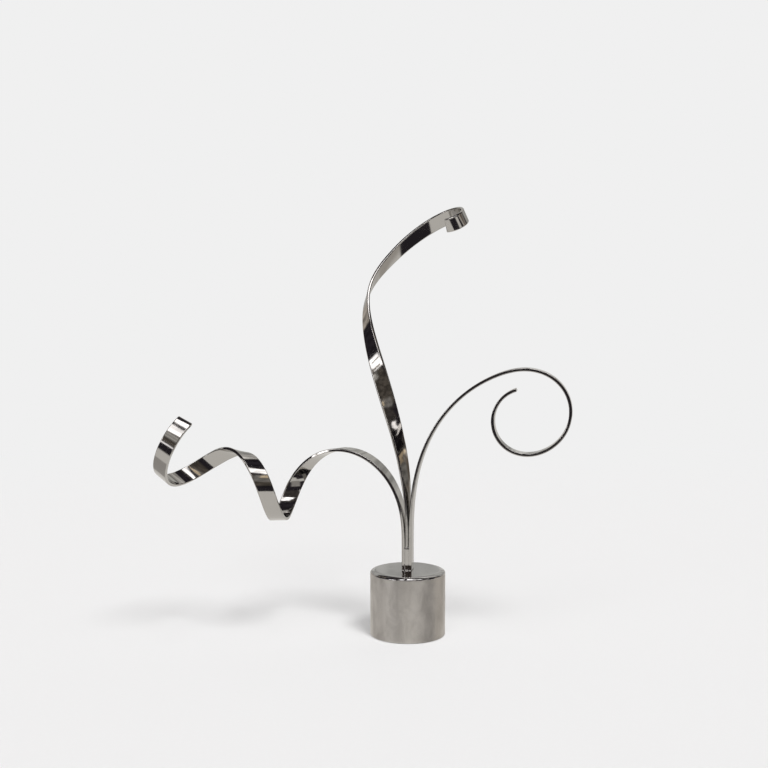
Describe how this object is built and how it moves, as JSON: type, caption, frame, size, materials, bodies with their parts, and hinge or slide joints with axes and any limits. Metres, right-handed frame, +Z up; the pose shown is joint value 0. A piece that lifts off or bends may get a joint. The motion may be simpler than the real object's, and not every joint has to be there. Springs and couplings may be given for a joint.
{
  "type": "magnetic desk sculpture",
  "caption": "Desk sculpture of bright twisted metal ribbons in a turning fork on a heavy magnetic drum, with a loose centre ribbon that lifts out.",
  "frame": {"origin": "on the desk, at the centre of the felt pad under the drum", "axes": "+Z up along the drum's axis; -Y is the front; +X is the side of the flat scroll"},
  "size_m": [0.409, 0.1684, 0.4374],
  "materials": {
    "ribbon_chrome": "bright mirror polish",
    "drum_chrome": "polished top, softer satin side",
    "brass": "plain turned",
    "ferrite": "matt, ground faces",
    "plain_steel": "plain, ground",
    "ballast_iron": "as cast, turned faces",
    "cushion_rubber": "matt sheet",
    "felt": "pressed wool felt"
  },
  "bodies": {
    "base": {"base_shell": "drum_chrome", "top_boss": "brass", "cushion_disc": "cushion_rubber", "magnet_upper": "ferrite", "magnet_lower": "ferrite", "backing_plate": "plain_steel", "ballast_slug": "ballast_iron", "bottom_plate": "plain_steel", "clamp_screw": "brass", "felt_pad": "felt"},
    "fork": {"foot_block": "ribbon_chrome", "left_ribbon": "ribbon_chrome", "right_ribbon": "ribbon_chrome"},
    "centre": {"centre_ribbon": "ribbon_chrome"}
  },
  "joints": [
    {"name": "fork_turn", "type": "hinge", "parent": "base", "child": "fork", "pos_m": [0, 0, 0.0667], "axis": [0, 0, 1], "continuous": true},
    {"name": "centre_lift", "type": "slide", "parent": "fork", "child": "centre", "axis": [0, 0, 1], "range_m": [0, 0.045]}
  ]
}
